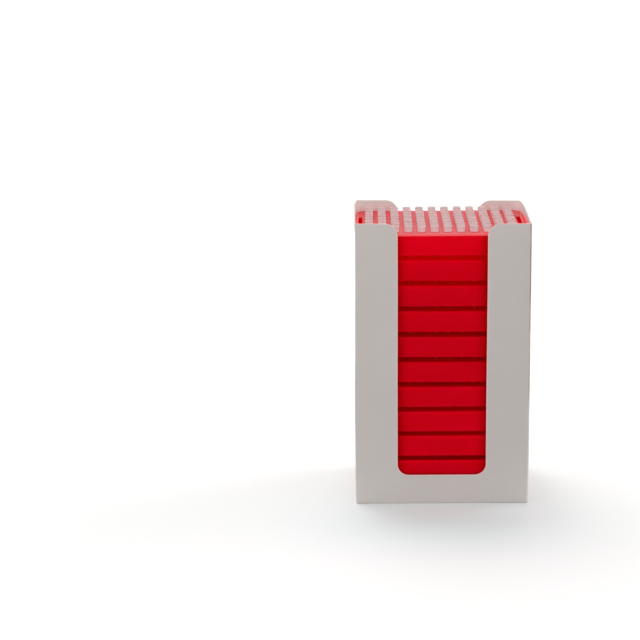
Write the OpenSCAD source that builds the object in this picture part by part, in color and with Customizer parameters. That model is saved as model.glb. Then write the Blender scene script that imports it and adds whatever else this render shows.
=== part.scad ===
// Open folding-board tray that holds a stack of refill racks of small
// pipette tips. Millimetres, +Z up, origin at the middle of the tray's
// bottom face. X runs along the 12 columns, Y along the 8 rows, and the
// front panel faces -Y.

/* [Tray] */
// Outer width of the folded tray
tray_w = 120.8; // [119.4:0.1:124]
// Outer depth of the folded tray
tray_d = 84; // [83.2:0.1:90]
// Height of the tray walls
tray_h = 200; // [198:0.5:215]
// Thickness of the folding board
card_t = 0.6; // [0.4:0.05:0.65]
// Outer radius of the upright folds
fold_r = 1; // [0.8:0.1:2]
// Width of the window in the front panel
window_w = 61.4; // [30:0.1:80]
// Width of the window in the back panel
back_window_w = 58; // [30:0.1:80]
// Height of the lower edge of the windows above the base
window_z = 20.8; // [16:0.1:60]
// Radius of the lower corners of the windows
window_r = 7; // [2:0.5:12]
// Radius of the shoulders where the windows open at the top
shoulder_r = 9; // [2:0.5:14]
// Width of the glued seam flap inside the back panel
seam_w = 14; // [8:0.5:24]

/* [Racks] */
// Outer width of a rack, along the columns
rack_w = 117.8; // [116:0.1:118]
// Outer depth of a rack, along the rows
rack_d = 81; // [79.5:0.1:81.2]
// Height of a rack from its deck to the lower edge of its skirt
rack_h = 14.3; // [9:0.1:15]
// Height from one deck to the next in the stack
rack_pitch = 17.85; // [16.8:0.05:18.1]
// Corner radius of a rack in plan
rack_r = 5; // [4:0.5:7]
// Radius along the top outer edge of a rack
edge_r = 1.3; // [0.5:0.1:1.5]
// Thickness of the deck
deck_t = 1.8; // [1.2:0.1:2.5]
// Thickness of the skirt walls
skirt_t = 1.5; // [1:0.1:1.6]
// Height of the bead along the lower edge of the skirt
bead_h = 0.9; // [0.5:0.1:2]
// How far the bead stands proud of the skirt
bead_out = 0.2; // [0.1:0.05:0.4]
// Distance from the top deck down to the rim of the tray
deck_drop = 7.6; // [5:0.1:9]

/* [Tips] */
// Distance between neighbouring tips
tip_pitch = 9; // [9:0.1:9.2]
// Number of tips along X
columns = 12; // [2:1:12]
// Number of tips along Y
rows = 8; // [2:1:8]
// Height of a tip's collar above the deck
tip_stand = 4.2; // [3:0.1:4.4]
// Radius of a tip's collar
collar_r = 2.95; // [2.6:0.05:3]
// Length of a tip below the top of the deck
tip_drop = 27.3; // [20:0.1:28.5]
// Radius of a tip's pointed end
end_r = 0.45; // [0.35:0.05:0.6]

/* [Hidden] */
// Number of racks in the stack
rack_count = 10;
top_deck_z = tray_h - deck_drop;
lowest_deck_z = top_deck_z - (rack_count - 1) * rack_pitch;
foot_z = lowest_deck_z - rack_pitch;      // what the lowest feet stand on
floor_z = 2 * card_t;                     // top of the inner bottom flaps
gap_h = rack_pitch - rack_h;              // open gap between two racks
seat_depth = 0.6;                         // recess in the deck under each collar
seat_r = collar_r + 0.3;
hole_r = 2.55;                            // hole that a tip hangs in
body_r = 2.45;                            // tip just under its collar
knee_z = -7;                              // where the steep taper starts
knee_r = 2.25;
mouth_r = 2.15;                           // bore of a tip at its rim
knee_bore_r = 1.75;
end_bore_r = 0.22;
rim_h = 0.8;                              // band round the top of the collar
slot_in = 54.5;                           // inner side of a lifting slot
slot_half = 16.5;                         // half length of a lifting slot
slot_wall = 1.2;
foot_t = 1.8;
leg = 12;                                 // length of each foot
bottom_seam_y = 13;                       // where the two outer bottom flaps meet
$fn = 48;

function deck_z(i) = top_deck_z - (i - 1) * rack_pitch;

// ---------------------------------------------------------------- helpers

// Rectangle with round corners, centred on the origin
module rounded(w, d, r) {
    square([w - 2 * r, d], center = true);
    square([w, d - 2 * r], center = true);
    for (sx = [-1, 1], sy = [-1, 1])
        translate([sx * (w / 2 - r), sy * (d / 2 - r)]) circle(r = r);
}

// Upright section of a bar w wide and h high whose top edges are rounded
module round_top(w, h, r) {
    translate([-w / 2, 0]) square([w, h - r]);
    translate([-w / 2 + r, 0]) square([w - 2 * r, h]);
    for (s = [-1, 1]) translate([s * (w / 2 - r), h - r]) circle(r = r);
}

// Half of that section, for turning the corners
module round_top_half(w, h, r) {
    square([w, h - r]);
    square([w - r, h]);
    translate([w - r, h - r]) circle(r = r);
}

// Block with upright corners of radius rc and a top edge of radius re
module soft_block(w, d, h, rc, re) {
    for (sx = [-1, 1], sy = [-1, 1])
        translate([sx * (w / 2 - rc), sy * (d / 2 - rc), 0])
            rotate_extrude() intersection() {
                round_top_half(rc, h, re);
                square([rc, h]);
            }
    rotate([90, 0, 90]) translate([0, 0, -(w / 2 - rc)])
        linear_extrude(w - 2 * rc) round_top(d, h, re);
    rotate([90, 0, 0]) translate([0, 0, -(d / 2 - rc)])
        linear_extrude(d - 2 * rc) round_top(w, h, re);
}

module at_tips() {
    for (c = [0 : columns - 1], r = [0 : rows - 1])
        translate([(c - (columns - 1) / 2) * tip_pitch,
                   (r - (rows - 1) / 2) * tip_pitch, 0])
            children();
}

// ------------------------------------------------------------------- tray

// Outline of a window w wide, from its lower edge to above the rim, in X and Z
module window_outline(w) {
    translate([-w / 2, window_z + window_r]) square([w, tray_h - window_z]);
    translate([-w / 2 + window_r, window_z]) square([w - 2 * window_r, 2 * window_r]);
    for (s = [-1, 1])
        translate([s * (w / 2 - window_r), window_z + window_r]) circle(r = window_r);
    // shoulders that open the window at the rim
    for (s = [-1, 1]) difference() {
        translate([s > 0 ? w / 2 - 1 : -w / 2 - shoulder_r, tray_h - shoulder_r])
            square([shoulder_r + 1, shoulder_r + 1]);
        translate([s * (w / 2 + shoulder_r), tray_h - shoulder_r]) circle(r = shoulder_r);
    }
}

// One folded sheet: four walls, the seam flap glued inside the back panel,
// two outer bottom flaps that meet at a seam, and two inner bottom flaps
module tray() {
    iw = tray_w - 2 * card_t;
    id = tray_d - 2 * card_t;
    color([0.73, 0.70, 0.69]) union() {
        difference() {
            linear_extrude(tray_h) rounded(tray_w, tray_d, fold_r);
            translate([0, 0, card_t])
                linear_extrude(tray_h) rounded(iw, id, fold_r - card_t);
            // the front window and the back window
            for (v = [[-1, window_w], [1, back_window_w]])
                translate([0, v[0] * tray_d / 2, 0]) rotate([90, 0, 0])
                    translate([0, 0, -5]) linear_extrude(10) window_outline(v[1]);
            // seam between the outer bottom flaps
            translate([-iw / 2 + 1, bottom_seam_y, -1]) cube([iw - 2, 0.5, card_t + 1]);
        }
        // inner bottom flaps, folded in from the side walls
        for (s = [-1, 1]) scale([s, 1, 1])
            translate([0, 0, card_t]) linear_extrude(card_t)
                polygon([[iw / 2, -id / 2 + 1], [iw / 2 - 34, -id / 2 + 9],
                         [iw / 2 - 44, -id / 2 + 22], [iw / 2 - 44, id / 2 - 22],
                         [iw / 2 - 34, id / 2 - 9], [iw / 2, id / 2 - 1]]);
        // strip of the front bottom flap that tucks over the back one
        translate([-iw / 2 + 30, bottom_seam_y - 8, card_t])
            cube([iw - 60, 20, card_t]);
        // seam flap
        translate([-iw / 2, id / 2 - card_t, card_t])
            cube([seam_w, card_t, tray_h - 4]);
    }
}

// Folded platform under the lowest rack. The points of the lowest tips
// hang through its opening.
module stack_riser() {
    w = rack_w - 0.4;
    d = rack_d - 0.6;
    color([0.78, 0.74, 0.70]) difference() {
        translate([0, 0, floor_z]) linear_extrude(foot_z - floor_z) rounded(w, d, 1);
        translate([0, 0, floor_z - 1]) linear_extrude(foot_z - floor_z + 1 - card_t)
            rounded(w - 2 * card_t, d - 2 * card_t, 0.4);
        linear_extrude(foot_z + 1) rounded(105, 69, 3);
    }
}

// ------------------------------------------------------------------ racks

// Moulded rack: deck with a seat and a hole for each tip, skirt with a bead,
// lifting slots at both ends, and feet that stand on the deck below.
// Drawn with the deck's top at z = 0.
module rack_body() {
    w = rack_w - 2 * bead_out;
    d = rack_d - 2 * bead_out;
    iw = w - 2 * skirt_t;
    id = d - 2 * skirt_t;
    difference() {
        union() {
            difference() {
                union() {
                    translate([0, 0, -rack_h]) soft_block(w, d, rack_h, rack_r - bead_out, edge_r);
                    translate([0, 0, -rack_h]) linear_extrude(bead_h) rounded(rack_w, rack_d, rack_r);
                }
                translate([0, 0, -rack_h - 1]) linear_extrude(rack_h + 1 - deck_t)
                    rounded(iw, id, rack_r - bead_out - skirt_t);
            }
            // walls round the lifting slots
            for (s = [-1, 1])
                translate([s * (slot_in - slot_wall + (iw / 2 - slot_in + slot_wall + 0.2) / 2), 0, -rack_h / 2 - 0.5])
                    cube([iw / 2 - slot_in + slot_wall + 0.2, 2 * (slot_half + slot_wall), rack_h - 1], center = true);
            // stiffening ribs under the deck, between the tips
            for (x = [-4, 0, 4]) translate([x * tip_pitch, 0, -deck_t - 2.5 + 0.1])
                cube([1, id + 0.2, 5], center = true);
            translate([0, 0, -deck_t - 2.5 + 0.1]) cube([2 * (slot_in - slot_wall) + 0.2, 1, 5], center = true);
            // feet
            for (sx = [-1, 1], sy = [-1, 1]) {
                translate([sx * 46, sy * (id / 2 - foot_t / 2 + 0.1), -rack_pitch + (rack_pitch - deck_t + 0.1) / 2])
                    cube([leg, foot_t + 0.2, rack_pitch - deck_t + 0.1], center = true);
                translate([sx * (iw / 2 - foot_t / 2 + 0.1), sy * 28, -rack_pitch + (rack_pitch - deck_t + 0.1) / 2])
                    cube([foot_t + 0.2, leg, rack_pitch - deck_t + 0.1], center = true);
            }
        }
        // lifting slots, open from top to bottom
        for (s = [-1, 1])
            translate([s * (slot_in + iw / 2) / 2, 0, -rack_h / 2])
                cube([iw / 2 - slot_in, 2 * slot_half, rack_h + 4], center = true);
        at_tips() translate([0, 0, -deck_t - 1]) {
            cylinder(r = hole_r, h = deck_t + 2);
            translate([0, 0, deck_t + 1 - seat_depth]) cylinder(r = seat_r, h = seat_depth + 1);
        }
    }
}

module rack(i) {
    color([0.85, 0.03, 0.10]) translate([0, 0, deck_z(i)]) rack_body();
}

// ------------------------------------------------------------------- tips

// Section of one tip, right half, with the deck's top at z = 0
module tip_section() {
    polygon([
        [mouth_r, tip_stand],
        [collar_r, tip_stand],
        [collar_r, tip_stand - rim_h],
        [collar_r - 0.15, tip_stand - rim_h - 0.15],
        [collar_r - 0.15, -seat_depth],
        [body_r, -seat_depth],
        [knee_r, knee_z],
        [end_r, -tip_drop],
        [end_bore_r, -tip_drop],
        [knee_bore_r, knee_z]
    ]);
}

module tips(i) {
    color([0.86, 0.84, 0.83, 0.8]) translate([0, 0, deck_z(i)])
        at_tips() rotate_extrude() tip_section();
}

tray();
stack_riser();
rack(1);  // rack_01
rack(2);  // rack_02
rack(3);  // rack_03
rack(4);  // rack_04
rack(5);  // rack_05
rack(6);  // rack_06
rack(7);  // rack_07
rack(8);  // rack_08
rack(9);  // rack_09
rack(10);  // rack_10
tips(1);  // tips_01
tips(2);  // tips_02
tips(3);  // tips_03
tips(4);  // tips_04
tips(5);  // tips_05
tips(6);  // tips_06
tips(7);  // tips_07
tips(8);  // tips_08
tips(9);  // tips_09
tips(10);  // tips_10
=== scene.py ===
import math
import random

import bpy
import numpy as np
from mathutils import Matrix, Vector


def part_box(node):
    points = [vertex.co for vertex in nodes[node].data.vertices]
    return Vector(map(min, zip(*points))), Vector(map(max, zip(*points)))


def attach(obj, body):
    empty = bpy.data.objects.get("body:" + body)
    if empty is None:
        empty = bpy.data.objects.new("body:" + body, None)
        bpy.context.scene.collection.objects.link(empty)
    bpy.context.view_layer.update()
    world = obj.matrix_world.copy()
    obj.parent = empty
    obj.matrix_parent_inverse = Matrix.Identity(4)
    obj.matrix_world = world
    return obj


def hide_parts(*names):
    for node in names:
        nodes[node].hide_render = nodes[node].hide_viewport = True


MM = 0.001
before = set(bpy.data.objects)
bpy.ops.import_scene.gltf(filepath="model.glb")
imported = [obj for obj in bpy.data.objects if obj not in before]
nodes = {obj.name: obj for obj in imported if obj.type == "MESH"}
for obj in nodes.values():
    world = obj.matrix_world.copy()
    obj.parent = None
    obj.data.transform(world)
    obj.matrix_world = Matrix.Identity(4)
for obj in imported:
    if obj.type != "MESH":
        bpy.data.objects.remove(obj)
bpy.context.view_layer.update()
rng = random.Random(11)
RACKS = ["rack_%02d" % i for i in range(1, 11)]
TIPS = ["tips_%02d" % i for i in range(1, 11)]


# ---------------------------------------------------------------- node helpers
class Net:
    """A small wrapper that keeps the material code short."""

    def __init__(self, name):
        self.mat = bpy.data.materials.new(name)
        self.mat.use_nodes = True
        self.t = self.mat.node_tree
        self.t.nodes.clear()
        self.out = self.t.nodes.new("ShaderNodeOutputMaterial")

    def node(self, kind, **props):
        n = self.t.nodes.new(kind)
        for k, v in props.items():
            setattr(n, k, v)
        return n

    def link(self, a, b):
        self.t.links.new(a, b)

    def put(self, sock, value):
        if isinstance(value, bpy.types.NodeSocket):
            self.link(value, sock)
        else:
            sock.default_value = value

    def coords(self):
        return self.node("ShaderNodeTexCoord").outputs["Object"]

    def attribute(self, name):
        n = self.node("ShaderNodeAttribute")
        n.attribute_name = name
        return n.outputs["Fac"]

    def mapped(self, vec, scale, rot=(0, 0, 0)):
        n = self.node("ShaderNodeMapping")
        self.put(n.inputs["Vector"], vec)
        n.inputs["Scale"].default_value = scale
        n.inputs["Rotation"].default_value = rot
        return n.outputs["Vector"]

    def noise(self, vec, scale, detail=3.0, rough=0.5, distortion=0.0):
        n = self.node("ShaderNodeTexNoise")
        self.put(n.inputs["Vector"], vec)
        n.inputs["Scale"].default_value = scale
        n.inputs["Detail"].default_value = detail
        n.inputs["Roughness"].default_value = rough
        n.inputs["Distortion"].default_value = distortion
        return n.outputs["Fac"]

    def math(self, op, a, b=None, c=None, clamp=False):
        n = self.node("ShaderNodeMath", operation=op, use_clamp=clamp)
        self.put(n.inputs[0], a)
        if b is not None:
            self.put(n.inputs[1], b)
        if c is not None:
            self.put(n.inputs[2], c)
        return n.outputs[0]

    def range(self, v, a, b, c, d, smooth=False):
        n = self.node("ShaderNodeMapRange")
        if smooth:
            n.interpolation_type = "SMOOTHSTEP"
        self.put(n.inputs[0], v)
        for i, x in enumerate((a, b, c, d)):
            n.inputs[i + 1].default_value = x
        return n.outputs[0]

    def ramp(self, v, stops):
        n = self.node("ShaderNodeValToRGB")
        self.put(n.inputs[0], v)
        e = n.color_ramp.elements
        while len(e) < len(stops):
            e.new(0.5)
        for el, (p, col) in zip(e, stops):
            el.position = p
            el.color = (*col, 1)
        return n.outputs[0]

    def mix(self, f, a, b, blend="MIX"):
        n = self.node("ShaderNodeMix", data_type="RGBA", blend_type=blend)
        self.put(n.inputs[0], f)
        self.put(n.inputs[6], a if isinstance(a, bpy.types.NodeSocket) else (*a, 1))
        self.put(n.inputs[7], b if isinstance(b, bpy.types.NodeSocket) else (*b, 1))
        return n.outputs[2]

    def xyz(self, vec):
        n = self.node("ShaderNodeSeparateXYZ")
        self.put(n.inputs[0], vec)
        return n.outputs

    def bump(self, height, strength, distance, normal=None):
        n = self.node("ShaderNodeBump")
        self.put(n.inputs["Height"], height)
        n.inputs["Strength"].default_value = strength
        n.inputs["Distance"].default_value = distance
        if normal is not None:
            self.put(n.inputs["Normal"], normal)
        return n.outputs["Normal"]

    def principled(self, **values):
        n = self.node("ShaderNodeBsdfPrincipled")
        for k, v in values.items():
            k = k.replace("_", " ")
            if isinstance(v, tuple) and len(v) == 3:
                v = (*v, 1) if "Color" in k else v
            self.put(n.inputs[k], v)
        return n

    def done(self, shader):
        self.link(shader, self.out.inputs["Surface"])
        return self.mat


# ---------------------------------------------------------------- materials
def board_material(name, base, dark, inside=False):
    m = Net(name)
    co = m.coords()
    cloud = m.noise(m.mapped(co, (22, 22, 16)), 1.0, 4, 0.55)
    grain = m.noise(m.mapped(co, (900, 900, 260)), 1.0, 4, 0.7)
    speck = m.noise(co, 3200.0, 2, 0.6)
    tone = m.math("MULTIPLY_ADD", m.range(grain, 0.3, 0.7, 0, 1), 0.30, m.math("MULTIPLY", m.range(cloud, 0.3, 0.7, 0, 1), 0.70))
    colour = m.mix(tone, dark, base)
    fibres = m.range(speck, 0.70, 0.78, 0, 0.35 if inside else 0.10)
    colour = m.mix(fibres, colour, (0.30, 0.24, 0.19))
    x, y, z = m.xyz(co)
    ax = m.math("ABSOLUTE", x)
    fold, hard = m.attribute("crease"), m.attribute("hard_crease")
    crack = m.noise(m.mapped(co, (1500, 1500, 330)), 1.0, 5, 0.75, 0.6)
    # the right-hand fold is creased hardest, most of all near the rim
    patch = m.noise(m.mapped(co, (60, 60, 105)), 1.0, 2, 0.6)
    upper = m.math("MAXIMUM", m.range(z, 0.1905, 0.1935, 0.0, 0.55, True), m.math("MULTIPLY", m.range(z, 0.1700, 0.1760, 0, 0.30, True), m.range(z, 0.1880, 0.1850, 0, 1, True)))
    upper = m.math("MAXIMUM", upper, m.math("MULTIPLY", m.range(z, 0.1450, 0.1490, 0, 0.45, True), m.range(z, 0.1745, 0.1710, 0, 1, True)))
    spared = m.math("MULTIPLY", m.range(z, 0.0960, 0.1000, 0, 0.35, True), m.range(z, 0.1260, 0.1220, 0, 1, True))
    upper = m.math("SUBTRACT", upper, spared)
    split = m.math("ADD", m.math("ADD", m.range(patch, 0.42, 0.62, 0.55, 0.85, True), upper), m.range(crack, 0.45, 0.7, -0.12, 0.12))
    crack = m.math("MULTIPLY", fold, m.range(crack, 0.50, 0.66, 0, 0.4, True))
    opened = m.range(z, 0.060, 0.085, 0.10, 1.0, True)
    crack = m.math("MAXIMUM", crack, m.math("MULTIPLY", m.math("MULTIPLY", hard, split, clamp=True), opened))
    colour = m.mix(m.math("MULTIPLY", crack, 0.72), colour, (0.32, 0.165, 0.085))
    # lower down the same fold is only rubbed pale
    rubbed = m.math("MULTIPLY", m.math("MULTIPLY", hard, m.range(z, 0.060, 0.085, 1.0, 0.0, True)), 0.6)
    colour = m.mix(rubbed, colour, (0.86, 0.79, 0.77))
    # the pale core of the board shows along every cut edge
    cut = m.attribute("cut")
    cut = m.math("MULTIPLY", m.range(cut, 0.0, 0.50, 0.0, 1.0, True), m.range(crack, 0.0, 0.3, 1.0, 0.2))
    cut = m.math("MULTIPLY", cut, m.range(z, 0.1900, 0.1950, 1.0, 0.45))
    bounced = m.range(y, -0.0395, -0.0408, 0, 1, True)  # red light from the racks reaches the front edges
    colour = m.mix(cut, colour, m.mix(bounced, (0.76, 0.70, 0.67), (0.97, 0.63, 0.605)))
    # painted light and shade: the board is lightest near the bottom, darker higher up, and a little darker towards the
    # right
    lift = m.ramp(m.range(z, 0.0, 0.2, 0, 1), [(0.0, (1.05,) * 3), (0.06, (1.0,) * 3), (0.14, (0.915,) * 3), (0.24, (0.862,) * 3), (0.45, (0.835,) * 3), (0.70, (0.828,) * 3), (0.93, (0.838,) * 3), (1.0, (0.86,) * 3)])
    across = m.ramp(m.range(x, -0.06, 0.06, 0, 1), [(0.0, (1.0,) * 3), (1.0, (0.965,) * 3)])
    colour = m.mix(1.0, m.mix(1.0, colour, lift, "MULTIPLY"), across, "MULTIPLY")
    # painted shade: a dark contact line along the very bottom of the board
    low = m.range(z, 0.0, 0.0012, 0.08, 0.0, True)
    colour = m.mix(low, colour, (0.40, 0.36, 0.33))
    # painted red bounce: near the deck the inside faces are tinted red, standing in for light from the red plastic
    painted_red_bounce = m.range(m.math("ADD", z, m.range(y, 0.0, 0.036, 0.0, 0.0045)), 0.1930, 0.1980, 1.0, 0.0, True)
    if inside:  # light from the red plastic beside it
        wall = m.math("MULTIPLY", m.range(ax, 0.0572, 0.0582, 0.0, 0.90), m.range(x, -0.05, 0.05, 0.45, 1.0))
        colour = m.mix(m.math("MULTIPLY", painted_red_bounce, wall), colour, (0.97, 0.26, 0.27))
    rub = m.noise(m.mapped(co, (30, 30, 240), (0.2, 0.1, 0.35)), 1.0, 3, 0.6)
    rough = m.math("ADD", m.range(rub, 0.3, 0.7, 0.46 if not inside else 0.72, 0.60 if not inside else 0.86), m.math("MULTIPLY", crack, 0.2))
    wave = m.noise(m.mapped(co, (14, 14, 9)), 1.0, 2, 0.5)
    n1 = m.bump(wave, 0.55, 0.0016)
    n2 = m.bump(grain, 0.30 if not inside else 0.6, 0.00006, n1)
    n3 = m.bump(crack, 0.8, 0.00012, n2)
    p = m.principled(Base_Color=colour, Roughness=rough, IOR=1.42, Normal=n3)
    if inside:
        # painted light: the inside faces above the deck glow faintly, more just above the deck, reddest on the side
        # walls beside the racks and brighter in the two back corners, standing in for light through the board and from
        # the red plastic
        beside = m.range(ax, 0.0575, 0.0580, 0, 1)
        glow = m.mix(m.range(z, 0.1960, 0.1975, 1.0, 0.0, True), (0.78, 1.0, 0.88), (1.0, 0.62, 0.52))
        # the two back corners are lit from both walls
        corner = m.math("MAXIMUM", m.range(x, 0.0500, 0.0592, 0.0, 0.16), m.range(x, -0.0550, -0.0592, 0.0, 0.16))
        corner = m.math("MULTIPLY", corner, m.range(y, 0.0250, 0.0400, 0.0, 1.0))
        corner = m.math("MULTIPLY", corner, m.math("MULTIPLY", m.range(z, 0.1905, 0.1920, 0.0, 1.0), m.range(z, 0.2000, 0.1965, 0.35, 1.0)))
        m.put(p.inputs["Emission Color"], m.mix(m.range(corner, 0.0, 0.05, 0.0, 0.85), m.mix(beside, glow, (1.0, 0.10, 0.10)), (1.0, 0.82, 0.80)))
        through = m.math("ADD", m.range(z, 0.190, 0.192, 0, 0.060), m.math("MULTIPLY", m.range(z, 0.191, 0.192, 0, 0.022), m.range(z, 0.1960, 0.1980, 1.0, 0.0, True)))
        through = m.math("MULTIPLY", through, m.math("SUBTRACT", 1.0, beside))
        spill = m.math("MULTIPLY", m.math("MULTIPLY", painted_red_bounce, beside), m.range(x, -0.05, 0.05, 0.03, 0.12))
        m.put(p.inputs["Emission Strength"], m.math("ADD", m.math("ADD", spill, through), corner))
    return m.done(p.outputs[0])


def board_edge_material(name):
    m = Net(name)
    co = m.coords()
    ply = m.noise(m.mapped(co, (2600, 2600, 2600)), 1.0, 4, 0.75)
    streak = m.noise(m.mapped(co, (300, 300, 300)), 1.0, 3, 0.6)
    x, y, z = m.xyz(co)
    # painted red bounce: the cut edges near the front are tinted pink and glow faintly, standing in for red light from
    # the racks
    bounced = m.range(y, -0.0395, -0.0408, 0, 1, True)
    colour = m.ramp(ply, [(0.25, (0.72, 0.65, 0.61)), (0.55, (0.82, 0.75, 0.72)), (0.8, (0.90, 0.84, 0.81))])
    colour = m.mix(bounced, colour, m.ramp(ply, [(0.25, (0.93, 0.66, 0.61)), (0.55, (1.0, 0.74, 0.70)), (0.8, (1.0, 0.81, 0.78))]))
    colour = m.mix(m.range(streak, 0.50, 0.7, 0, 0.30), colour, (0.62, 0.50, 0.42))
    n = m.bump(ply, 0.8, 0.00010)
    p = m.principled(Base_Color=colour, Roughness=0.85, IOR=1.4, Normal=n)
    m.put(p.inputs["Emission Color"], (1.0, 0.55, 0.50, 1.0))
    m.put(p.inputs["Emission Strength"], m.math("MULTIPLY", bounced, 0.07))
    return m.done(p.outputs[0])


def rack_material(name):
    """Light spreads inside this plastic; here that is painted into colour and emission: faces brightest under the lit
    deck and dimmer beside the board, and a painted red glow in the spaces between the racks."""
    m = Net(name)
    co = m.coords()
    x, y, z = m.xyz(co)
    z = m.math("ADD", z, m.attribute("sunk"))
    ax, ay = m.math("ABSOLUTE", x), m.math("ABSOLUTE", y)
    cloud = m.noise(m.mapped(co, (26, 26, 60)), 1.0, 3, 0.5)
    fine = m.noise(co, 1900.0, 3, 0.6)
    colour = m.mix(m.range(cloud, 0.3, 0.7, 0, 1), RACK_LOW, RACK_HIGH)
    dust = m.math("MULTIPLY", m.range(m.noise(co, 620.0, 5, 0.8), 0.69, 0.74, 0, 1, True), 0.25)
    colour = m.mix(dust, colour, (0.92, 0.08, 0.09))
    outer = m.math("MAXIMUM", m.range(ay, 0.0396, 0.0402, 0, 1, True), m.range(ax, 0.0577, 0.0583, 0, 1, True))
    depth = m.range(z, 0.1924, 0.0124, 0, 1)
    # painted shade: the faces get darker further down the stack
    painted_depth_shade = m.ramp(depth, [(0.0, (1.0,) * 3), (0.017, (0.93,) * 3), (0.05, (0.885,) * 3), (0.08, (0.86,) * 3), (0.10, (0.77,) * 3), (0.14, (0.75,) * 3), (0.22, (0.73,) * 3), (0.45, (0.71,) * 3), (0.70, (0.76,) * 3), (0.86, (0.82,) * 3), (1.0, (0.78,) * 3)])
    # painted shade: the faces get darker and a deeper red towards the window's side edges, where the board beside them
    # shades them
    beside = m.ramp(m.range(ax, 0.0215, 0.0315, 0, 1), [(0.0, (1.0,) * 3), (0.3, (0.955, 0.9, 0.85)), (0.62, (0.81, 0.7, 0.45)), (0.88, (0.66, 0.5, 0.1)), (1.0, (0.60, 0.4, 0.0))])
    tone = m.mix(1.0, painted_depth_shade, beside, "MULTIPLY")
    # painted shade and highlight along the top edge of each lower rack: darker right under the rack above, then a
    # lighter line on its rounded edge
    step = m.math("DIVIDE", m.math("MODULO", m.math("SUBTRACT", 0.19255, z), 0.01785), 0.01785)
    rim = m.ramp(step, [(0.0, (0.85,) * 3), (0.030, (0.95,) * 3), (0.050, (1.12,) * 3), (0.070, (1.16,) * 3), (0.095, (1.11,) * 3), (0.13, (1.055,) * 3), (0.18, (1.02,) * 3), (0.24, (1.0,) * 3), (1.0, (1.0,) * 3)])
    tone = m.mix(m.range(z, 0.1780, 0.1775, 0, 1), tone, m.mix(1.0, tone, rim, "MULTIPLY"))
    tone = m.mix(outer, (1.0, 1.0, 1.0), tone)
    # painted shade on the faces just above the window's sill
    sill = m.ramp(m.range(z, 0.0195, 0.0235, 0, 1), [(0.0, (0.50,) * 3), (0.30, (0.55,) * 3), (0.55, (0.85,) * 3), (1.0, (1.0,) * 3)])
    tone = m.mix(1.0, tone, sill, "MULTIPLY")
    colour = m.mix(1.0, colour, tone, "MULTIPLY")
    # the spaces between the racks: painted shade darkens the inner faces, and a painted red glow stands in for light
    # that has come through the plastic
    under = m.range(z, 0.1895, 0.1885, 0, 1)
    inner = m.math("MULTIPLY", m.math("SUBTRACT", 1.0, outer), under)
    colour = m.mix(m.math("MULTIPLY", inner, 0.80), colour, (0.10, 0.0, 0.0))
    inner = m.math("MAXIMUM", inner, m.math("MULTIPLY", m.range(step, 0.010, 0.055, 0.9, 0), m.range(z, 0.1780, 0.1775, 0, 1)))
    glow = m.ramp(depth, GLOW)
    amount = m.math("MULTIPLY", inner, m.range(cloud, 0.3, 0.7, 0.92, 1.08))
    amount = m.math("MULTIPLY", amount, m.range(ax, 0.022, 0.0315, 1.0, 0.75))
    # painted glow in the lifting slots, below the deck
    slots = m.math("MULTIPLY", m.range(ax, 0.0515, 0.0530, 0, 0.30), m.range(z, 0.1735, 0.1743, 0, 1))
    amount = m.math("ADD", amount, m.math("MULTIPLY", slots, m.range(z, 0.1905, 0.1900, 0, 1)))
    # the deck on top has its red painted darker, and a pale painted sheen that runs over its rounded edge
    deck = m.range(z, 0.1908, 0.1912, 0, 1)
    painted_lip_sheen = m.math("MULTIPLY", m.range(z, 0.1906, 0.1912, 0, 1, True), m.math("MAXIMUM", m.range(ay, 0.0388, 0.0396, 0, 1), m.range(ax, 0.0570, 0.0577, 0, 1)))
    colour = m.mix(deck, colour, m.mix(1.0, colour, (0.74, 1.0, 1.0), "MULTIPLY"))
    colour = m.mix(m.math("MULTIPLY", painted_lip_sheen, 0.95), colour, (0.89, 0.150, 0.165))
    # a little painted glow stands in for light that comes up through it, most of all near the front
    lit = m.math("MULTIPLY", deck, m.math("SUBTRACT", 1.0, painted_lip_sheen))
    lit = m.math("MULTIPLY", lit, m.math("ADD", 0.010, m.range(y, -0.0120, -0.0230, 0.0, 0.040, True)))
    # the thin walls outside the lifting slots let more of it out
    ends = m.math("MULTIPLY", m.math("MULTIPLY", m.range(ax, 0.0566, 0.0570, 0, 1), m.range(ay, 0.0220, 0.0150, 0, 1, True)), deck)
    amount = m.math("ADD", amount, m.math("ADD", lit, m.math("MULTIPLY", ends, 0.15)))
    glow = m.mix(ends, m.mix(deck, glow, (1.0, 0.45, 0.45)), (1.0, 0.12, 0.14))
    ior = m.range(deck, 0, 1, RACK_IOR, DECK_IOR)
    tint = m.mix(deck, (1.0, 0.08, 0.12), (1.0, 0.90, 0.92))
    scuff = m.noise(m.mapped(co, (60, 60, 900), (0.05, 0.03, 0.0)), 1.0, 4, 0.65, 0.3)
    rough = m.math("ADD", m.range(cloud, 0.3, 0.7, 0.30, 0.38), m.range(scuff, 0.55, 0.75, 0.0, 0.12, True))
    flow = m.noise(m.mapped(co, (18, 18, 55)), 1.0, 2, 0.5, 0.4)
    n1 = m.bump(flow, 0.5, 0.0007)
    n2 = m.bump(fine, 0.22, 0.00004, n1)
    n3 = m.bump(scuff, 0.18, 0.00005, n2)
    p = m.principled(
        Base_Color=colour, Roughness=rough, IOR=ior, Normal=n3, Specular_Tint=tint,
        Subsurface_Weight=0.6, Subsurface_Radius=(0.0040, 0.0002, 0.0002), Subsurface_Scale=1.0,
        Emission_Color=glow, Emission_Strength=amount,
    )
    return m.done(p.outputs[0])


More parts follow.
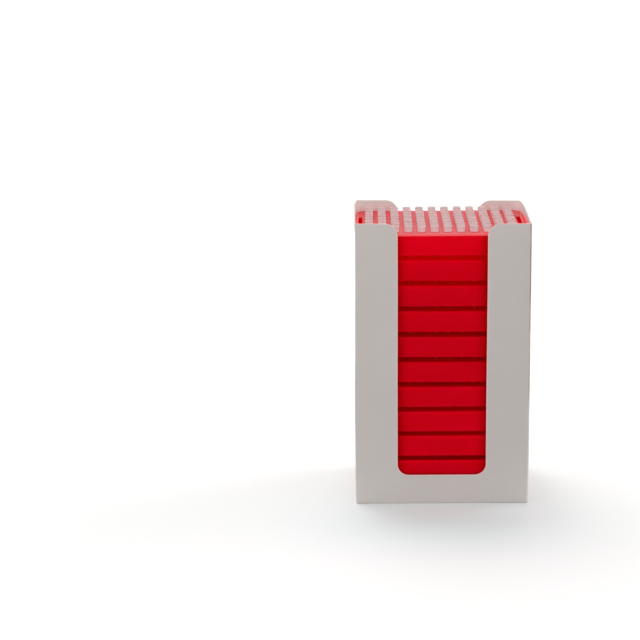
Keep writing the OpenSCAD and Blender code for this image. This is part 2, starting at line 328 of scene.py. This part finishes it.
def tip_material(name, tint, diffuse, clear):
    """Natural polypropylene: diffuse is its milkiness, clear how much is seen straight through."""
    m = Net(name)
    co = m.coords()
    haze = m.noise(co, 160.0, 3, 0.6)
    fine = m.noise(m.mapped(co, (500, 500, 1500)), 1.0, 3, 0.6)
    lighter = tuple(min(1.0, c * 1.12) for c in tint)
    colour = m.mix(m.range(haze, 0.3, 0.7, 0, 1), tint, lighter)
    rough = m.range(haze, 0.3, 0.7, 0.16, 0.26)
    n = m.bump(fine, 0.12, 0.00002)
    x, y, z = m.xyz(co)
    # painted glow: a faint glow over each whole tip stands in for light spread in the milky plastic, and light from
    # the deck glows in the foot of each collar
    foot = m.math("ADD", m.range(z, 0.1950, 0.1938, 0.0, 0.070, True), m.range(z, 0.1940, 0.1930, 0.0, 0.14, True))
    foot = m.math("MULTIPLY", foot, m.range(z, 0.1921, 0.1924, 0.2, 1.0))
    p = m.principled(
        Base_Color=colour, Roughness=rough, IOR=1.38, Normal=n,
        Emission_Color=m.mix(m.range(foot, 0.0, 0.10, 0.0, 1.0), (1.0, 0.56, 0.58), (1.0, 0.70, 0.70)),
        Emission_Strength=m.math("ADD", m.range(haze, 0.3, 0.7, 0.035, 0.050), foot),
    )
    t = m.node("ShaderNodeBsdfTranslucent")
    m.put(t.inputs["Color"], m.mix(0.5, colour, (0.92, 0.90, 0.90)))
    m.put(t.inputs["Normal"], n)
    c = m.node("ShaderNodeBsdfTransparent")
    c.inputs["Color"].default_value = (0.95, 0.94, 0.94, 1)
    a = m.node("ShaderNodeMixShader")
    a.inputs[0].default_value = 1 - diffuse
    m.link(p.outputs[0], a.inputs[1])
    m.link(t.outputs[0], a.inputs[2])
    b = m.node("ShaderNodeMixShader")
    m.put(b.inputs[0], m.range(haze, 0.3, 0.7, clear + 0.04, clear - 0.04))
    m.link(a.outputs[0], b.inputs[1])
    m.link(c.outputs[0], b.inputs[2])
    return m.done(b.outputs[0])


def nested_tip_material(name):
    """Tips inside the stack, painted dark red, with a painted red glow standing in for light that has come through the
    red plastic.
    """
    m = Net(name)
    co = m.coords()
    x, y, z = m.xyz(co)
    haze = m.noise(co, 240.0, 3, 0.6)
    colour = m.mix(m.range(haze, 0.3, 0.7, 0, 1), (0.15, 0.004, 0.005), (0.20, 0.008, 0.010))
    depth = m.range(z, 0.1924, 0.0124, 0, 1)
    glow = m.ramp(depth, GLOW)
    ax = m.math("ABSOLUTE", x)
    amount = m.math("MULTIPLY", m.range(haze, 0.35, 0.7, 0.95, 1.10), m.range(ax, 0.022, 0.0315, 1.0, 0.75))
    p = m.principled(
        Base_Color=colour, Roughness=m.range(haze, 0.3, 0.7, 0.25, 0.4), IOR=1.3, Specular_Tint=(1.0, 0.25, 0.28, 1.0),
        Emission_Color=glow, Emission_Strength=amount,
    )
    c = m.node("ShaderNodeBsdfTransparent")
    c.inputs["Color"].default_value = (0.95, 0.60, 0.60, 1)
    b = m.node("ShaderNodeMixShader")
    m.put(b.inputs[0], m.range(haze, 0.3, 0.7, 0.30, 0.22))
    m.link(p.outputs[0], b.inputs[1])
    m.link(c.outputs[0], b.inputs[2])
    return m.done(b.outputs[0])


def floor_material(name):
    m = Net(name)
    co = m.coords()
    n = m.noise(co, 3.0, 3, 0.5)
    colour = m.mix(m.range(n, 0.3, 0.7, 0, 1), (FLOOR,) * 3, (FLOOR + 0.01,) * 3)
    x, y, z = m.xyz(co)
    # painted shadow: a soft darker, less red patch on the floor in front of the tray
    dx, dy = m.math("DIVIDE", x, 0.085), m.math("DIVIDE", m.math("ADD", y, 0.088), 0.052)
    d2 = m.math("ADD", m.math("MULTIPLY", dx, dx), m.math("MULTIPLY", dy, dy))
    painted_front_shadow = m.math("POWER", 2.718, m.math("MULTIPLY", d2, -1.0))
    colour = m.mix(painted_front_shadow, colour, (FLOOR - 0.113, FLOOR - 0.032, FLOOR - 0.024))
    # painted shadow on the floor beside the tray's right-hand side
    dx, dy = m.math("DIVIDE", m.math("SUBTRACT", x, 0.066), 0.020), m.math("DIVIDE", m.math("ADD", y, 0.040), 0.045)
    d2 = m.math("ADD", m.math("MULTIPLY", dx, dx), m.math("MULTIPLY", dy, dy))
    colour = m.mix(m.math("POWER", 2.718, m.math("MULTIPLY", d2, -1.0)), colour, (FLOOR - 0.065, FLOOR - 0.060, FLOOR - 0.055))
    # right against the board the floor is painted a little lighter and less red again
    close = m.math("MULTIPLY", m.range(m.math("ABSOLUTE", x), 0.048, 0.062, 1, 0, True), m.range(y, -0.082, -0.045, 0, 1, True))
    colour = m.mix(close, colour, (FLOOR, FLOOR + 0.055, FLOOR + 0.065))
    p = m.principled(Base_Color=colour, Roughness=0.9, IOR=1.3)
    return m.done(p.outputs[0])


RACK_LOW, RACK_HIGH = (0.80, 0.0, 0.010), (0.88, 0.0, 0.014)
RACK_IOR, DECK_IOR = 1.17, 1.36
FLOOR = 0.925
# painted red glow by depth down the stack, standing in for light that has come through the red plastic
GLOW = [(0.0, (0.38, 0, 0)), (0.10, (0.30, 0, 0)), (0.19, (0.20, 0, 0)), (0.29, (0.155, 0, 0)), (0.39, (0.130, 0, 0)), (0.50, (0.123, 0, 0)),
        (0.60, (0.116, 0, 0)), (0.70, (0.134, 0, 0)), (0.80, (0.132, 0, 0)), (0.90, (0.096, 0, 0)), (1.0, (0.090, 0, 0))]
MAT_BOARD = board_material("coated_board", (0.668, 0.618, 0.590), (0.634, 0.586, 0.558))
MAT_INNER = board_material("board_inside", (0.96, 0.96, 0.94), (0.92, 0.91, 0.89), True)
MAT_EDGE = board_edge_material("board_cut_edge")
MAT_RACK = rack_material("red_rack_plastic")
MAT_TIP = tip_material("milky_tip_plastic", (0.78, 0.684, 0.680), 0.60, 0.09)
MAT_TIP_IN = nested_tip_material("nested_tip_plastic")
MAT_FLOOR = floor_material("studio_floor")


# ---------------------------------------------------------------- mesh helper
def make_mesh(name, verts, faces, mats, indices=None, sharp=None):
    me = bpy.data.meshes.new(name)
    me.from_pydata([tuple(v) for v in verts], [], faces)
    for mat in mats:
        me.materials.append(mat)
    if indices is not None:
        me.polygons.foreach_set("material_index", np.array(indices, np.int32))
    me.polygons.foreach_set("use_smooth", np.ones(len(me.polygons), bool))
    me.update()
    ob = bpy.data.objects.new(name, me)
    bpy.context.scene.collection.objects.link(ob)
    if sharp is not None:
        limit = math.cos(math.radians(sharp))
        normals = np.zeros(len(me.polygons) * 3, np.float32)
        me.polygons.foreach_get("normal", normals)
        normals = normals.reshape(-1, 3)
        seen = {}
        for p in me.polygons:
            for k in p.edge_keys:
                seen.setdefault(k, []).append(p.index)
        for e in me.edges:
            f = seen.get(e.key, [])
            if len(f) == 2 and float(normals[f[0]] @ normals[f[1]]) < limit:
                e.use_edge_sharp = True
    return ob


# ---------------------------------------------------------------- the board tray
HW, HD = 59.55, 41.90  # half width and half depth of the outer faces before the bow
TH = 0.6
FOLD = 0.95
WX, BX, WZ, WR, SR, TOP = 30.7, 29.0, 20.8, 7.7, 9.0, 200.0
RIM = {(-1, -1): 199.95, (1, -1): 199.32, (-1, 1): 199.97, (1, 1): 198.82}  # rim height at each corner
SEAM_Y = 13.0


def body_rows():
    rows = [(z, WX - WR) for z in (1.2, 2.4, 5.0, 9.0, 13.0, 17.0, 19.2, 20.2, 20.5)]
    n = 12
    for i in range(n + 1):
        a = math.pi / 2 * i / n
        rows.append((WZ + WR * (1 - math.cos(a)), WX - WR + WR * math.sin(a)))
    for i in range(1, 30):
        rows.append((WZ + WR + (TOP - SR - WZ - WR) * i / 30, WX))
    for i in range(n + 1):
        a = math.pi / 2 * i / n
        rows.append((TOP - SR + SR * math.sin(a), WX + SR * (1 - math.cos(a))))
    return rows


def smooth_steps(points, v):
    """Eased interpolation through (position, value) pairs."""
    if v <= points[0][0]:
        return points[0][1]
    for (a, p), (b, q) in zip(points, points[1:]):
        if v <= b:
            t = (v - a) / (b - a)
            return p + (q - p) * t * t * (3 - 2 * t)
    return points[-1][1]


# how far the stack pushes the front corners outwards, by height
SPREAD_L = [(0.0, 0.25), (6.0, 0.40), (24.0, 0.62), (74.0, 0.72), (124.0, 0.27), (160.0, 0.0), (200.0, -0.25)]
SPREAD_R = [(0.0, 0.55), (8.0, 0.70), (30.0, 0.84), (180.0, 0.84), (200.0, 0.76)]
# the side walls' free rims flare a little, most of all the left one
FLARE = [(-1.0, 0.15), (-0.8, 0.8), (-0.6, 1.0), (0.3, 1.0), (0.7, 0.85), (1.0, 0.0)]
# the front window wasn't cut quite square
SKEW = [(0.0, -0.15), (80.0, -0.15), (130.0, 0.0), (156.0, 0.10), (200.0, 0.05)]


def bow(p):
    """The small unevenness of a folded board tray: walls bow, and the rim isn't quite level."""
    x, y, z = p
    h = z / TOP
    u, v = x / HW, y / HD
    side = max(0.0, (abs(u) - 0.9) / 0.1)
    face = max(0.0, (abs(v) - 0.9) / 0.1)
    across = 1 - min(1.0, abs(v)) ** 2
    along = 1 - min(1.0, abs(u)) ** 2
    swell = 0.22 * h**1.5 * across + 0.05 * math.sin(5.1 * h + 1.3 + 2 * v) * across
    front = (1 - max(-1.0, min(1.0, v))) / 2
    flare = smooth_steps([(190.0, 0.0), (197.5, 1.0)], z) * smooth_steps(FLARE, v)
    if x > 0:
        dx = side * min(0.84, 0.6 * swell + smooth_steps(SPREAD_R, z) * front + 0.28 * flare)
    else:
        dx = -side * min(0.84, 0.7 * swell + smooth_steps(SPREAD_L, z) * front + 0.78 * flare)
    if y < 0:
        dx += face * min(1.0, 1.35 * along) * smooth_steps(SKEW, z)
    curl = 0.30 * (1 - h) * h * along + 0.10 * math.sin(3.7 * h + 2.2 * u)
    dy = face * max(-0.10, min(0.30, curl)) * (1 if y < 0 else -1)
    rim = sum(RIM[i, j] * (1 + i * u) * (1 + j * v) / 4 for i in (-1, 1) for j in (-1, 1))
    dz = (rim - TOP) * max(0.0, h) ** 2
    # the free corners of the back panel curl inwards near the rim
    t = max(0.0, (z - 176.0) / 24.0) ** 2 * max(0.0, (y - 18.0) / 24.0) ** 2
    k = min(1.0, max(0.0, (abs(x) - 20.0) / 39.5))
    dx += t * (0.93 * k if x < 0 else -1.17 * k)
    return (x + dx, y + dy, z + dz)


def cut_distance(name, x, z):
    """Distance in the sheet from a point of a panel to the nearest cut edge."""
    if name not in ("front", "back"):
        return TOP - z
    w, x = (WX if name == "front" else BX), abs(x)
    if z < WZ + WR:
        if x <= w - WR:
            return abs(WZ - z)
        return abs(math.hypot(x - w + WR, z - WZ - WR) - WR)
    if z <= TOP - SR:
        return abs(x - w)
    if x < w + SR:
        return abs(SR - math.hypot(w + SR - x, z - TOP + SR))
    return TOP - z


def build_tray():
    rows = body_rows()
    edge = [0.0, 0.012, 0.05, 0.12, 0.25, 0.42, 0.6, 0.78, 0.9, 0.96, 0.99, 1.0]
    span = [i / 16 for i in range(17)]
    cols = []  # (panel, function of window-edge x -> (x, y, nx, ny))

    def panel(name, y, ny, x0, x1):
        """A long face from x0 to x1, its window in the middle."""
        s = 1 if x1 > x0 else -1
        o = BX - WX if name == "back" else 0.0
        for u in edge:
            cols.append((name, lambda w, u=u: (x0 + (-s * (w + o) - x0) * u, y, 0.0, ny), None))
        for u in span[1:-1]:
            cols.append((name, lambda w, u=u: ((w + o) * s * (2 * u - 1), y, 0.0, ny), "window"))
        for u in reversed(edge):
            cols.append((name, lambda w, u=u: (x1 + (s * (w + o) - x1) * u, y, 0.0, ny), None))

    def fold(cx, cy, a0, a1):
        for i in range(1, 8):
            a = math.radians(a0 + (a1 - a0) * i / 8)
            c, s = math.cos(a), math.sin(a)
            cols.append(("fold", lambda w, c=c, s=s: (cx + FOLD * c, cy + FOLD * s, c, s), None))

    def side(x, nx, y0, y1, name):
        for i in range(15):
            y = y0 + (y1 - y0) * i / 14
            cols.append((name, lambda w, y=y: (x, y, nx, 0.0), None))

    panel("back", HD, 1.0, -HW + 0.15, HW - FOLD)
    fold(HW - FOLD, HD - FOLD, 90, 0)
    side(HW, 1.0, HD - FOLD, -HD + FOLD, "right")
    fold(HW - FOLD, -HD + FOLD, 0, -90)
    panel("front", -HD, -1.0, HW - FOLD, -HW + FOLD)
    fold(-HW + FOLD, -HD + FOLD, -90, -180)
    side(-HW, -1.0, -HD + FOLD, HD - TH - 0.03 - FOLD, "left")
    fold(-HW + FOLD, HD - TH - 0.03 - FOLD, 180, 90)
    for i in range(6):
        x = -HW + FOLD + (HW - FOLD - 45.2) * i / 5
        cols.append(("flap", lambda w, x=x, i=i: (x, HD - TH - 0.03, 0.0, 1.0), None))

    # rows below the body: the bottom folds and flaps
    under = 5 + 7
    n_rows = under + len(rows)
    grid_o, grid_i, present, marks = [], [], [], []
    for name, at, tag in cols:
        co, ci, ok, mk = [], [], [], []
        for j in range(n_rows):
            if j >= under:
                z, w = rows[j - under]
                x, y, nx, ny = at(w)
                if name == "flap":
                    k = (x + HW - FOLD) / (HW - FOLD - 45.2)
                    z = 1.6 + 3.0 * k + (z - 1.2) / (TOP - 1.2) * (TOP - 5.2 - 5.0 * k)
                o = (x, y, z)
                n = (nx, ny, 0.0)
                here = True
            else:
                x, y, nx, ny = at(WX - WR)
                k = under - 1 - j  # 0 just under the body
                if name in ("front", "back"):
                    s = -1 if name == "front" else 1
                    rb = 0.5
                    if k < 5:
                        c = math.pi / 2 * k / 4
                        o = (x, s * (HD - rb + rb * math.cos(c)), rb - rb * math.sin(c))
                        n = (0.0, s * math.cos(c), -math.sin(c))
                    else:
                        q = (k - 4) / 7
                        y1 = SEAM_Y + 0.25 * s
                        o = (x * (1 - 0.002 * q), s * (HD - rb) + (y1 - s * (HD - rb)) * q, 0.0)
                        n = (0.0, 0.0, -1.0)
                    here = True
                elif name in ("right", "left"):
                    s = 1 if name == "right" else -1
                    rb = 0.55
                    if k < 5:
                        c = math.pi / 2 * k / 4
                        o = (s * (HW - rb + rb * math.cos(c)), y, 0.62 + rb - rb * math.sin(c))
                        n = (s * math.cos(c), 0.0, -math.sin(c))
                    else:
                        q = (k - 4) / 7
                        o = (s * (HW - rb - 43.5 * q), y * (1 - 0.22 * q), 0.62)
                        n = (0.0, 0.0, -1.0)
                    here = True
                else:
                    o = (x, y, 0.15)
                    n = (nx, ny, 0.0)
                    here = k < 1 and name == "fold"
            gap = cut_distance(name, o[0], o[2]) if j >= under and name != "flap" else 9.0
            crease = 1.0 if name == "fold" else 0.0
            mk.append((max(0.0, 1 - gap / 0.55), crease, crease * (1.0 if o[0] > 0 and o[1] < 0 and n[0] > 0.05 else 0.0)))
            i_ = (o[0] - TH * n[0], o[1] - TH * n[1], o[2] - TH * n[2])
            co.append(bow(o))
            ci.append(bow(i_))
            ok.append(here)
        grid_o.append(co)
        grid_i.append(ci)
        present.append(ok)
        marks.append(mk)

    sill = under + next(i for i, (z, w) in enumerate(rows) if abs(z - WZ) < 1e-9)

    def cell(i, j):
        """Is the patch between columns i, i+1 and rows j, j+1 board?"""
        if i < 0 or j < 0 or i >= len(cols) - 1 or j >= n_rows - 1:
            return False
        a, b = cols[i], cols[i + 1]
        if j >= sill and (a[2] == "window" or b[2] == "window"):
            return False
        if j < under:
            if a[0] != b[0] and not (j == under - 1 and "fold" in (a[0], b[0])):
                return False
            if not (present[i][j] and present[i + 1][j]):
                return False
        return True

    verts, key, worn = [], {}, []

    def vid(layer, i, j):
        k = (layer, i, j)
        if k not in key:
            key[k] = len(verts)
            p = (grid_o if layer == 0 else grid_i)[i][j]
            verts.append((p[0] * MM, p[1] * MM, p[2] * MM))
            worn.append(marks[i][j])
        return key[k]

    faces, index = [], []
    for i in range(len(cols) - 1):
        for j in range(n_rows - 1):
            if not cell(i, j):
                continue
            faces.append([vid(0, i, j), vid(0, i, j + 1), vid(0, i + 1, j + 1), vid(0, i + 1, j)])
            index.append(0)
            faces.append([vid(1, i, j), vid(1, i + 1, j), vid(1, i + 1, j + 1), vid(1, i, j + 1)])
            index.append(1)
            for di, dj, (a, b) in ((-1, 0, ((0, 0), (0, 1))), (1, 0, ((1, 1), (1, 0))), (0, -1, ((1, 0), (0, 0))), (0, 1, ((0, 1), (1, 1)))):
                if not cell(i + di, j + dj):
                    p, q = (i + a[0], j + a[1]), (i + b[0], j + b[1])
                    faces.append([vid(0, *q), vid(0, *p), vid(1, *p), vid(1, *q)])
                    index.append(2)
    ob = make_mesh("tray_board", verts, faces, [MAT_BOARD, MAT_INNER, MAT_EDGE], index, sharp=40)
    for k, label in enumerate(("cut", "crease", "hard_crease")):
        layer = ob.data.attributes.new(label, "FLOAT", "POINT")
        layer.data.foreach_set("value", np.array([w[k] for w in worn], np.float32))
    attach(ob, "root")
    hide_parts("tray")
    return ob


tray = build_tray()


# ---------------------------------------------------------------- racks: the CAD shape, hand-stacked
# lean of each rack about Y in thousandths: the stack isn't quite true
RACK_LEAN = (0.0, 3.0, 2.0, 3.0, 2.0, 0.0, 0.0, -3.0, -3.4, -3.0)
# how far each rack has settled below its nominal height, in mm
SUNK = (0.0, 0.28, 0.30, 0.45, 0.70, 0.70, 0.65, 0.60, 0.37, 0.37)


def settle(x, y):
    """Sideways warp of the top rack's deck and its tips, in mm."""
    t = min(1.0, max(0.0, (y + 31.5) / 63.0))
    return (-0.15 - 0.18 * t) - (0.003 + 0.0105 * t) * x


def build_racks():
    for i, name in enumerate(RACKS):
        src = nodes[name]
        lo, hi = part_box(name)
        c = (lo + hi) / 2
        me = src.data.copy()
        co = np.zeros(len(me.vertices) * 3, np.float32)
        me.vertices.foreach_get("co", co)
        co = co.reshape(-1, 3)
        low = np.abs(co[:, 2] - (hi.z - 14.3 * MM)) < 0.02 * MM
        co[low, 2] -= (0.62 if i == 0 else 0.22) * MM  # the skirt's lower edge isn't cut quite flat
        if i == 0:
            for v in co:
                x, y = float(v[0]) / MM, float(v[1]) / MM
                fade = 1 - smooth_steps([(56.6, 0.0), (58.3, 1.0)], abs(x))
                v[0] += settle(x, y) * fade * MM
        hold = np.clip((co[:, 2] - lo.z) / (8 * MM), 0, 1) if i == 9 else 1.0  # the lowest rack stands on the riser
        co[:, 2] -= SUNK[i] * MM * hold
        me.vertices.foreach_set("co", co.ravel())
        at = me.attributes.new("sunk", "FLOAT", "POINT")
        at.data.foreach_set("value", np.full(len(me.vertices), SUNK[i] * MM, np.float32))
        shift = Vector((rng.uniform(-0.12, 0.12), rng.uniform(-0.25, 0.25), 0.0)) * MM
        yaw = rng.uniform(-0.0015, 0.0015)
        if i == 0:
            shift, yaw = Vector((-0.25, 0.0, 0.0)) * MM, 0.0
        m = (
            Matrix.Translation(c + shift)
            @ Matrix.Rotation(RACK_LEAN[i] / 1000, 4, "Y")
            @ Matrix.Rotation(yaw, 4, "Z")
            @ Matrix.Translation(-c)
        )
        me.transform(m)
        me.materials.clear()
        me.materials.append(MAT_RACK)
        ob = bpy.data.objects.new(name + "_moulding", me)
        bpy.context.scene.collection.objects.link(ob)
        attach(ob, "root")
        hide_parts(name)


build_racks()


# ---------------------------------------------------------------- the top rack's tips
def tip_profile():
    """Radius and height in mm, from the mouth's inner edge round the rim and down the outside, with the bore last."""
    out = [(2.24, 4.14), (2.31, 4.20), (2.69, 4.20), (2.78, 4.17), (2.84, 4.09), (2.855, 3.98), (2.855, 3.52), (2.83, 3.42), (2.73, 3.36), (2.70, 3.28)]
    out += [(2.69, 2.0), (2.685, 0.6), (2.68, -0.15), (2.67, -0.55), (2.44, -0.6)]
    out += [(2.36, -3.5), (2.25, -7.0), (1.85, -11.5), (1.30, -17.7), (0.85, -22.8), (0.47, -27.05), (0.42, -27.28)]
    bore = [(0.23, -27.28), (0.24, -26.0), (0.70, -20.0), (1.25, -13.0), (1.75, -7.0), (1.95, -2.0), (2.10, 2.0), (2.15, 3.9)]
    return out, bore


def build_tips():
    lo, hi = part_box("tips_01")
    top = hi.z / MM
    deck = top - 4.2
    out, bore = tip_profile()
    ring = out + bore
    seg = 24
    verts, faces, index = [], [], []
    for ix in range(12):
        for iy in range(8):
            cx, cy = (ix - 5.5) * 9.0, (iy - 3.5) * 9.0
            cx += settle(cx, cy) - 0.45
            lean_x = rng.gauss(0, 0.010)
            lean_y = rng.gauss(0, 0.010)
            drop = rng.uniform(0.0, 0.10)
            spin = rng.uniform(0, math.pi)
            lift = 1 - rng.uniform(0, 0.012)
            base = len(verts)
            for r, z in ring:
                z = z * lift - drop if z > 0 else z - drop * 0.0
                for s in range(seg):
                    a = spin + 2 * math.pi * s / seg
                    x, y = r * math.cos(a), r * math.sin(a)
                    h = max(z, 0.0)
                    verts.append(((cx + x + lean_x * h) * MM, (cy + y + lean_y * h) * MM, (deck + z - 0.35 * lean_x * x - 0.35 * lean_y * y) * MM if z > 0 else (deck + z) * MM))
            k = len(ring)
            for i in range(k):
                j = (i + 1) % k
                for s in range(seg):
                    t = (s + 1) % seg
                    faces.append([base + i * seg + s, base + j * seg + s, base + j * seg + t, base + i * seg + t])
                    index.append(1 if ring[i][1] < -0.5 and ring[j][1] < -0.5 else 0)
    ob = make_mesh("tips_01_moulding", verts, faces, [MAT_TIP, MAT_TIP_IN], index, sharp=50)
    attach(ob, "root")
    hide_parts("tips_01")


build_tips()

for name in TIPS[1:]:
    nodes[name].data.materials.clear()
    nodes[name].data.materials.append(MAT_TIP_IN)
nodes["stack_riser"].data.materials.clear()
nodes["stack_riser"].data.materials.append(MAT_INNER)


# ---------------------------------------------------------------- floor, light and camera
WORLD_FRONT, WORLD_BACK = 0.755, 0.79
KEY, KEY_DIR = 1.95, (-0.19, 0.50, 0.82)  # broad soft box above and behind
SIDE, SIDE_DIR = 1.75, (0.80, 0.30, 0.52)  # smaller one to the right


def build_stage():
    me = bpy.data.meshes.new("floor")
    s = 14.0
    me.from_pydata([(-s, -s, 0), (s, -s, 0), (s, s, 0), (-s, s, 0)], [], [(0, 1, 2, 3)])
    me.materials.append(MAT_FLOOR)
    ob = bpy.data.objects.new("floor", me)
    ob.location.z = -0.00005
    bpy.context.scene.collection.objects.link(ob)
    world = bpy.data.worlds.new("studio")
    bpy.context.scene.world = world
    world.use_nodes = True
    bg = world.node_tree.nodes["Background"]
    bg.inputs["Color"].default_value = (1.0, 0.995, 0.99, 1)
    wt = world.node_tree
    tc = wt.nodes.new("ShaderNodeTexCoord")
    sep = wt.nodes.new("ShaderNodeSeparateXYZ")
    wt.links.new(tc.outputs["Generated"], sep.inputs[0])
    mr = wt.nodes.new("ShaderNodeMapRange")
    mr.interpolation_type = "SMOOTHSTEP"
    wt.links.new(sep.outputs["Y"], mr.inputs[0])
    for i, x in enumerate((-0.55, 0.55, WORLD_FRONT, WORLD_BACK)):
        mr.inputs[i + 1].default_value = x
    dot = wt.nodes.new("ShaderNodeVectorMath")
    dot.operation = "DOT_PRODUCT"
    wt.links.new(tc.outputs["Generated"], dot.inputs[0])
    dot.inputs[1].default_value = Vector(KEY_DIR).normalized()
    lobe = wt.nodes.new("ShaderNodeMapRange")
    lobe.interpolation_type = "SMOOTHSTEP"
    wt.links.new(dot.outputs["Value"], lobe.inputs[0])
    for i, x in enumerate((0.85, 0.97, 0.0, KEY)):
        lobe.inputs[i + 1].default_value = x
    dot2 = wt.nodes.new("ShaderNodeVectorMath")
    dot2.operation = "DOT_PRODUCT"
    wt.links.new(tc.outputs["Generated"], dot2.inputs[0])
    dot2.inputs[1].default_value = Vector(SIDE_DIR).normalized()
    lobe2 = wt.nodes.new("ShaderNodeMapRange")
    lobe2.interpolation_type = "SMOOTHSTEP"
    wt.links.new(dot2.outputs["Value"], lobe2.inputs[0])
    for i, x in enumerate((0.93, 0.985, 0.0, SIDE)):
        lobe2.inputs[i + 1].default_value = x
    add = wt.nodes.new("ShaderNodeMath")
    wt.links.new(mr.outputs[0], add.inputs[0])
    wt.links.new(lobe.outputs[0], add.inputs[1])
    add2 = wt.nodes.new("ShaderNodeMath")
    wt.links.new(add.outputs[0], add2.inputs[0])
    wt.links.new(lobe2.outputs[0], add2.inputs[1])
    wt.links.new(add2.outputs[0], bg.inputs["Strength"])
    light = bpy.data.lights.new("overhead", "AREA")
    light.shape = "RECTANGLE"
    light.size, light.size_y = 1.6, 1.0
    light.energy = 0.5
    lo = bpy.data.objects.new("overhead", light)
    lo.location = (0.15, 0.75, 1.55)
    lo.rotation_euler = (Vector((0, 0, 0.15)) - Vector(lo.location)).to_track_quat("-Z", "Y").to_euler()
    bpy.context.scene.collection.objects.link(lo)


def build_camera():
    yaw, pitch, roll, f = -0.01972, 0.24955, -0.01086, 2137.30
    d = Vector((math.sin(yaw) * math.cos(pitch), math.cos(yaw) * math.cos(pitch), -math.sin(pitch)))
    r = Vector((math.cos(yaw), -math.sin(yaw), 0.0))
    u = r.cross(d)
    r2 = math.cos(roll) * r + math.sin(roll) * u
    u2 = -math.sin(roll) * r + math.cos(roll) * u
    cam = bpy.data.cameras.new("camera")
    cam.sensor_width = 36.0
    cam.lens = f * 36.0 / 640.0
    cam.clip_start, cam.clip_end = 0.01, 60.0
    ob = bpy.data.objects.new("camera", cam)
    ob.matrix_world = Matrix(
        (
            (r2.x, u2.x, -d.x, -0.05590),
            (r2.y, u2.y, -d.y, -1.46171),
            (r2.z, u2.z, -d.z, 0.49485),
            (0, 0, 0, 1),
        )
    )
    bpy.context.scene.collection.objects.link(ob)
    bpy.context.scene.camera = ob


build_stage()
build_camera()
view = bpy.context.scene.view_settings
view.view_transform = "Standard"
view.look = "None"
view.exposure = 0.0
view.gamma = 1.0
cycles = bpy.context.scene.cycles
cycles.max_bounces = 10
cycles.diffuse_bounces = 5
cycles.glossy_bounces = 4
cycles.transmission_bounces = 6
cycles.transparent_max_bounces = 16
cycles.use_denoising = True
cycles.caustics_reflective = False
cycles.caustics_refractive = False
